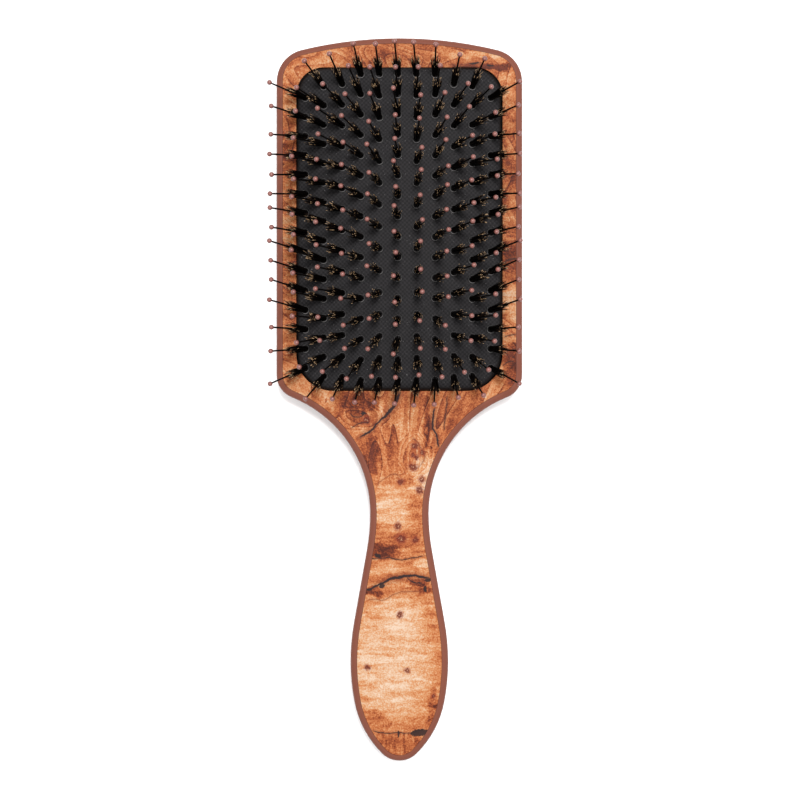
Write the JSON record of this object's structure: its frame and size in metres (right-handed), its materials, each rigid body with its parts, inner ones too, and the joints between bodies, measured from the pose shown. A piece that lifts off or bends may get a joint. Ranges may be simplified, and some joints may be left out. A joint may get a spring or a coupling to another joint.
{
  "type": "paddle hairbrush",
  "caption": "Paddle hairbrush with a domed air cushion, ball-tipped pins set in bristle tufts and a waisted handle",
  "frame": {"origin": "on the resting plane, midway along the brush on its centreline", "axes": "+Z the way the bristles point, +Y from the handle's end to the crown of the head, +X across the head"},
  "size_m": [0.0864, 0.25, 0.038],
  "materials": {
    "shell_soft_touch": "soft-touch matt, brown-red",
    "front_plate": "moulded, satin",
    "burl_print": "printed burl wood under a satin lacquer",
    "frame_plastic": "moulded, matt",
    "cushion_rubber": "matt black with a fine woven texture",
    "pin_nylon": "black nylon, slight gloss",
    "ball_tip": "rose coloured, smooth",
    "boar_bristle": "dark bristle with golden-brown tips"
  },
  "bodies": {
    "handle": {"back_shell": "shell_soft_touch", "face_plate": "front_plate", "burl_film": "burl_print", "cushion_frame": "frame_plastic", "cushion_pad": "cushion_rubber"},
    "bristle_zone1": {"nylon_pins_zone1": "pin_nylon", "ball_tips_zone1": "ball_tip", "boar_tufts_zone1": "boar_bristle"},
    "bristle_zone2": {"nylon_pins_zone2": "pin_nylon", "ball_tips_zone2": "ball_tip", "boar_tufts_zone2": "boar_bristle"},
    "bristle_zone3": {"nylon_pins_zone3": "pin_nylon", "ball_tips_zone3": "ball_tip", "boar_tufts_zone3": "boar_bristle"},
    "bristle_zone4": {"nylon_pins_zone4": "pin_nylon", "ball_tips_zone4": "ball_tip", "boar_tufts_zone4": "boar_bristle"},
    "bristle_zone5": {"nylon_pins_zone5": "pin_nylon", "ball_tips_zone5": "ball_tip", "boar_tufts_zone5": "boar_bristle"},
    "bristle_zone6": {"nylon_pins_zone6": "pin_nylon", "ball_tips_zone6": "ball_tip", "boar_tufts_zone6": "boar_bristle"}
  },
  "joints": [
    {"name": "cushion_press", "type": "slide", "parent": "handle", "child": "bristle_zone1", "axis": [0, 0, -1], "range_m": [0, 0.004], "stiffness_N_per_m": 4000, "deforming": ["cushion_pad"]},
    {"name": "cushion_press_zone2", "type": "slide", "parent": "handle", "child": "bristle_zone2", "axis": [0, 0, -1], "range_m": [0, 0.00364]},
    {"name": "cushion_press_zone3", "type": "slide", "parent": "handle", "child": "bristle_zone3", "axis": [0, 0, -1], "range_m": [0, 0.00326]},
    {"name": "cushion_press_zone4", "type": "slide", "parent": "handle", "child": "bristle_zone4", "axis": [0, 0, -1], "range_m": [0, 0.00285]},
    {"name": "cushion_press_zone5", "type": "slide", "parent": "handle", "child": "bristle_zone5", "axis": [0, 0, -1], "range_m": [0, 0.0025]},
    {"name": "cushion_press_zone6", "type": "slide", "parent": "handle", "child": "bristle_zone6", "axis": [0, 0, -1], "range_m": [0, 0.0021]}
  ],
  "couplings": [
    {"joint": "cushion_press_zone2", "follows": "cushion_press", "ratio": 0.9072},
    {"joint": "cushion_press_zone3", "follows": "cushion_press", "ratio": 0.8116},
    {"joint": "cushion_press_zone4", "follows": "cushion_press", "ratio": 0.7103},
    {"joint": "cushion_press_zone5", "follows": "cushion_press", "ratio": 0.6215},
    {"joint": "cushion_press_zone6", "follows": "cushion_press", "ratio": 0.5227}
  ]
}
